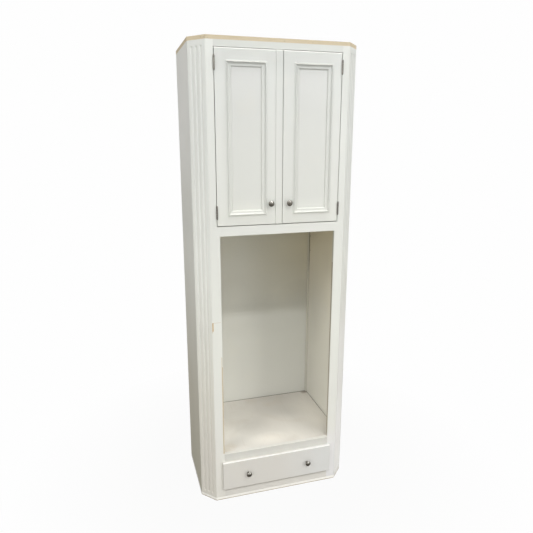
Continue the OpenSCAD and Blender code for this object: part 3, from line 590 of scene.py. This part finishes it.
USES = {
    "face": ["left_stile", "right_stile", "middle_rail"],
    "header": ["top_rail"],
    "corner": ["left_pilaster", "right_pilaster"],
    "sill": ["sill_rail"],
    "drawer": ["drawer_front"],
    "plinth": ["bottom_rail"],
    "base": ["base_plate"],
    "left_side": ["left_end_panel"],
    "right_side": ["right_end_panel"],
    "door": ["left_door_strip"] + [
        f"{side}_door_{piece}" for side in ("left", "right")
        for piece in ("hinge_stile", "lock_stile", "top_rail", "bottom_rail")],
    "moulding": ["left_door_moulding", "right_door_moulding"],
    "panel": ["left_door_panel", "right_door_panel"],
    "inside": ["bottom_panel", "top_panel", "back_panel", "cupboard_floor", "rear_nailers",
               "lower_shelf", "upper_shelf"],
    "strip": ["corner_cleats"],
    "wall": ["left_side_panel", "right_side_panel"],
    "deck": ["oven_deck"],
    "top_ply": ["top_plate"],
    "pine": ["deck_supports", "drawer_runner_rails"],
    "birch_y": ["drawer_left_side", "drawer_right_side", "drawer_bottom"],
    "birch_x": ["drawer_box_front", "drawer_back"],
    "hinge": ["hinge_frame_leaves", "hinge_pins", "left_hinge_door_leaves",
              "right_hinge_door_leaves"],
    "knob": ["left_door_knob", "right_door_knob", "drawer_knobs"],
    "zinc": ["shelf_pins", "slide_outers", "slide_middles", "slide_inners", "left_catch_strike",
             "right_catch_strike"],
    "plastic": ["door_catch"],
}
for look, names in USES.items():
    for name in names:
        mesh = nodes[name].data
        mesh.materials.clear()
        mesh.materials.append(looks[look])


# ---------------------------------------------------------------- floor and backdrop

FLOOR_REACH = 30.0
FLOOR_DROP = 0.0005     # keeps the floor clear of the cabinet's underside


def floor():
    """A floor that looks as pale as the backdrop, except for the cabinet's shadow close by."""
    data = bpy.data.meshes.new("floor")
    form = bmesh.new()
    bmesh.ops.create_grid(form, x_segments=8, y_segments=8, size=FLOOR_REACH)
    form.to_mesh(data)
    form.free()
    plane = bpy.data.objects.new("floor", data)
    plane.location.z = -FLOOR_DROP
    scene.collection.objects.link(plane)
    g = Graph("pale_floor")
    far = g.add("ShaderNodeVectorMath", {0: g.point}, operation="LENGTH").outputs["Value"]
    seen = g.add("ShaderNodeLightPath").outputs["Is Camera Ray"]
    shown = g.times(seen, g.ramp(far, 0.7, 1.6, 0.96, 1.0))
    stone = g.mix(g.noise(3.0), srgb(150, 148, 142), srgb(156, 154, 148))
    pale = g.add("ShaderNodeBsdfDiffuse", {"Color": stone}).outputs[0]
    glow = g.add("ShaderNodeEmission", {"Color": BACKDROP, "Strength": 1.0}).outputs[0]
    both = g.add("ShaderNodeMixShader", {0: shown, 1: pale, 2: glow}).outputs[0]
    g.feed(g.tree.nodes["Material Output"].inputs["Surface"], both)
    data.materials.append(g.material)


floor()


# ---------------------------------------------------------------- lights

SKY_STRENGTH = 0.487
SKY_HEIGHTS = (-0.2, 0.7)       # black below the first, white above the second
TUBE_DISTANCE = 9.0
TUBE_SIZE = (7.0, 0.06)
TUBE_ACROSS = 0.6
AIM_HEIGHT = 0.62               # the lamps look at this share of the cabinet's height


def world_light():
    """A sky that pales upwards. Rays that see it directly or in a gloss get the backdrop."""
    world = bpy.data.worlds.new("studio")
    scene.world = world
    world.use_nodes = True
    world.node_tree.nodes.clear()
    w = Tree(world.node_tree)
    way = w.add("ShaderNodeTexCoord").outputs["Generated"]
    height = w.add("ShaderNodeSeparateXYZ", {0: way}).outputs[2]
    tint = w.mix(w.ramp(height, *SKY_HEIGHTS), BLACK, WHITE)
    sky = w.add("ShaderNodeBackground", {"Color": tint, "Strength": SKY_STRENGTH}).outputs[0]
    white = w.add("ShaderNodeBackground", {"Color": BACKDROP}).outputs[0]
    rays = w.add("ShaderNodeLightPath").outputs
    onward = w.math("MAXIMUM", rays["Is Glossy Ray"], rays["Is Transmission Ray"])
    direct = w.math("MAXIMUM", rays["Is Camera Ray"], onward)
    both = w.add("ShaderNodeMixShader", {0: direct, 1: sky, 2: white}).outputs[0]
    w.add("ShaderNodeOutputWorld", {"Surface": both})


def lamp(name, place, aim, size, power):
    data = bpy.data.lights.new(name, "AREA")
    data.shape = "RECTANGLE"
    data.size, data.size_y = size
    data.energy = power
    made = bpy.data.objects.new(name, data)
    made.location = place
    made.rotation_euler = (Vector(aim) - Vector(place)).to_track_quat("-Z", "Y").to_euler()
    scene.collection.objects.link(made)


def ceiling_tube(name, slope, power):
    """A long thin lamp along X. The middle rail casts a level shadow edge at this slope."""
    edge = Vector((TUBE_ACROSS, FRONT_Y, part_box("middle_rail")[0].z))
    rise = math.atan(slope)
    away = Vector((0.0, -math.cos(rise), math.sin(rise)))
    lamp(name, edge + TUBE_DISTANCE * away, edge, TUBE_SIZE, power)


def far_lamp(name, bearing, height, distance, size, power):
    """A square lamp, its bearing counted to the right of straight ahead, both in degrees."""
    bearing, height = math.radians(bearing), math.radians(height)
    aim = Vector((0.0, FRONT_Y, TOP_Z * AIM_HEIGHT))
    away = Vector((math.sin(bearing) * math.cos(height), -math.cos(bearing) * math.cos(height),
                   math.sin(height)))
    lamp(name, aim + distance * away, aim, (size, size), power)


world_light()
ceiling_tube("ceiling_tube_near", 1.069, 150.0)
ceiling_tube("ceiling_tube_far", 1.120, 160.0)
far_lamp("window_left", -60.0, 25.0, 10.0, 6.6, 167.0)
far_lamp("fill_left", -42.0, 6.0, 10.0, 5.0, 195.0)
far_lamp("window_right", 30.0, 20.0, 6.0, 1.4, 40.0)
far_lamp("fill_right", 38.0, 2.0, 6.0, 3.0, 52.0)
far_lamp("fill_behind", 155.0, 25.0, 8.0, 5.0, 260.0)
lamp("floor_glow", (0.5, -3.2, 0.25), (0.0, FRONT_Y, 0.9), (3.0, 0.4), 10.0)
lamp("overhead", (0.3, -0.75, 4.6), (0.2, -0.7, 0.0), (1.2, 0.7), 42.0)


# ---------------------------------------------------------------- screws and nails

# Half of a head's section: reach of its radius, and level of its height.
HEAD_PROFILE = ((0.90, -0.5), (1.0, 0.0), (0.96, 0.5), (0.72, 0.88), (0.42, 1.0), (0.30, 0.4))
HEAD_SIDES = 24
RECESS_ARMS = 0.3       # how far the four arms of a cross recess stand out

# Radius and height of each kind of head.
PLATE_NAIL = (0.0016, 0.0003)
WALL_NAIL = (0.0035, 0.0006)
LEAF_SCREW = (0.0031, 0.00018)
KNOB_SCREW = (0.0045, 0.0022)
FRONT_SCREW = (0.0042, 0.002)
STRIKE_SCREW = (0.003, 0.00012)
CATCH_SCREW = (0.003, 0.001)

AHEAD = (0.0, -1.0, 0.0)
BEHIND = (0.0, 1.0, 0.0)
BELOW = (0.0, 0.0, -1.0)
CLIPPED = (-0.082, -0.0762, 0.0)    # out of the left clipped corner


def heads(name, body, slot, look, places, radius, height, crossed=True):
    """Round heads, crossed or plain, on surfaces given by a point and its outward way."""
    form = bmesh.new()
    turns = [2 * math.pi * i / HEAD_SIDES for i in range(HEAD_SIDES)]
    for place, outward in places:
        place, outward = Vector(place), Vector(outward).normalized()
        side = outward.orthogonal().normalized()
        up = outward.cross(side)
        rings = []
        for reach, level in HEAD_PROFILE:
            arms = RECESS_ARMS if crossed and (reach, level) == HEAD_PROFILE[-1] else 0.0
            rings.append([form.verts.new(
                place + radius * (reach * (1 + arms * math.cos(4 * turn)))
                * (math.cos(turn) * side + math.sin(turn) * up)
                + height * level * outward) for turn in turns])
        for inner, outer in zip(rings, rings[1:]):
            for i in range(HEAD_SIDES):
                j = (i + 1) % HEAD_SIDES
                form.faces.new((inner[i], inner[j], outer[j], outer[i]))
        form.faces.new(rings[0][::-1])
        form.faces.new(rings[-1])
    bmesh.ops.recalc_face_normals(form, faces=form.faces)
    mesh = bpy.data.meshes.new(name)
    form.to_mesh(mesh)
    form.free()
    mesh.materials.append(looks[look])
    piece = bpy.data.objects.new(name, mesh)
    scene.collection.objects.link(piece)
    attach(piece, body)


def middle(node):
    low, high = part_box(node)
    return (low + high) / 2


# The nails that show in the edge of the top plate: x, depth behind the face, height, outward way.
PLATE_NAILS = (
    (-0.3681, 0.0, 2.5772, AHEAD), (0.0211, 0.0, 2.5790, AHEAD), (0.1740, 0.0, 2.5780, AHEAD),
    (-0.3985, 0.0188, 2.5812, CLIPPED), (-0.3874, 0.0069, 2.5795, CLIPPED),
)


def plate_nails():
    """Finish nails in the front edges of the top plate."""
    places = [((x, FRONT_Y + deep, z), outward) for x, deep, z, outward in PLATE_NAILS]
    heads("top_plate_nails", "carcass", "zinc_steel", "hinge", places, *PLATE_NAIL, False)


BARREL = 0.004          # radius of a hinge's barrel
HALF_LEAF = 0.03175     # half of a leaf's height
HALF_GAP = 0.00025      # half of the gap between two closed leaves
LEAF_HOLES = ((-0.022, 0.0065), (0.0, 0.0105), (0.022, 0.0065))     # up and deep


def hinge_screws():
    """Three screws in each leaf, seen when a door stands open."""
    pin_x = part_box("hinge_pins")[1].x - BARREL
    low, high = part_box("hinge_frame_leaves")
    found = {"frame": [], -1: [], 1: []}
    for side in (-1, 1):
        for centre in (low.z + HALF_LEAF, high.z - HALF_LEAF):
            for up, deep in LEAF_HOLES:
                at = (FRONT_Y + deep, centre + up)
                found["frame"].append(((side * (pin_x + HALF_GAP), *at), (-side, 0, 0)))
                found[side].append(((side * (pin_x - HALF_GAP), *at), (side, 0, 0)))
    for name, body, key in (("hinge_screws_frame", "carcass", "frame"),
                            ("hinge_screws_left_door", "left_door", -1),
                            ("hinge_screws_right_door", "right_door", 1)):
        heads(name, body, "pewter", "hinge", found[key], *LEAF_SCREW)


DRAWER_KNOB = 0.016                 # radius of a drawer knob
SCREWS_ACROSS = (-0.25, 0.25)       # the screws of the drawer front, from its middle
SCREWS_UP = (-0.032, 0.032)         # and from the level of its knobs


def knob_screws():
    """Pan heads behind the knobs, and the screws that hold the drawer front to its box."""
    for side in ("left", "right"):
        knob, board = middle(f"{side}_door_knob"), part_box(f"{side}_door_lock_stile")[1]
        heads(f"knob_screw_{side}_door", f"{side}_door", "zinc_steel", "zinc",
              [((knob.x, board.y, knob.z), BEHIND)], *KNOB_SCREW)
    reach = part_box("drawer_knobs")[1].x - DRAWER_KNOB
    level = middle("drawer_knobs").z
    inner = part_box("drawer_box_front")[1].y
    places = [((x, inner, level), BEHIND) for x in (-reach, reach)]
    places += [((x, inner, level + z), BEHIND) for x in SCREWS_ACROSS for z in SCREWS_UP]
    heads("drawer_front_screws", "drawer", "zinc_steel", "zinc", places, *FRONT_SCREW)


CATCH_INSET = 0.007     # from the end of the catch to its screw


def catch_screws():
    """One screw in each strike plate, and two that hold the catch."""
    for side in ("left", "right"):
        plate = middle(f"{side}_catch_strike")
        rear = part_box(f"{side}_catch_strike")[1].y
        heads(f"strike_screw_{side}", f"{side}_door", "zinc_steel", "zinc",
              [((plate.x, rear, plate.z), BEHIND)], *STRIKE_SCREW)
    low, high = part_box("door_catch")
    across = (low.y + high.y) / 2
    places = [((x, across, low.z), BELOW) for x in (low.x + CATCH_INSET, high.x - CATCH_INSET)]
    heads("catch_screws", "carcass", "zinc_steel", "zinc", places, *CATCH_SCREW)


WALL_NAIL_DEPTH = 0.577             # behind the face
WALL_NAIL_LEVELS = (1.4685, 1.370)


def wall_nails():
    """Nails beside the rear corner strips, high in the oven bay."""
    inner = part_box("right_side_panel")[0].x
    places = [((side * inner, FRONT_Y + WALL_NAIL_DEPTH, z), (-side, 0, 0))
              for side in (-1, 1) for z in WALL_NAIL_LEVELS]
    heads("bay_wall_nails", "carcass", "zinc_steel", "hinge", places, *WALL_NAIL, False)


plate_nails()
hinge_screws()
knob_screws()
catch_screws()
wall_nails()


# ---------------------------------------------------------------- camera

CAMERA_PLACE = (-0.8535, -2.8587, 2.0879)
CAMERA_YAW, CAMERA_PITCH, CAMERA_ROLL = 16.0, 13.825, 0.154     # right, down and clockwise
CAMERA_LENS, SENSOR_WIDTH = 33.833, 36.0
CAMERA_SHIFT = (0.0165, -0.0014)
CAMERA_REACH = 100.0


def camera():
    yaw, pitch, roll = (math.radians(a) for a in (CAMERA_YAW, CAMERA_PITCH, CAMERA_ROLL))
    ahead = Vector((math.sin(yaw) * math.cos(pitch), math.cos(yaw) * math.cos(pitch),
                    -math.sin(pitch)))
    right = Vector((math.cos(yaw), -math.sin(yaw), 0.0))
    down = ahead.cross(right)
    right, down = (math.cos(roll) * right + math.sin(roll) * down,
                   math.cos(roll) * down - math.sin(roll) * right)
    data = bpy.data.cameras.new("camera")
    data.lens = CAMERA_LENS
    data.sensor_width = SENSOR_WIDTH
    data.shift_x, data.shift_y = CAMERA_SHIFT
    data.clip_end = CAMERA_REACH
    made = bpy.data.objects.new("camera", data)
    turned = Matrix((right, -down, -ahead)).transposed().to_4x4()
    made.matrix_world = Matrix.Translation(CAMERA_PLACE) @ turned
    scene.collection.objects.link(made)
    scene.camera = made


camera()
scene.view_settings.view_transform = "Standard"
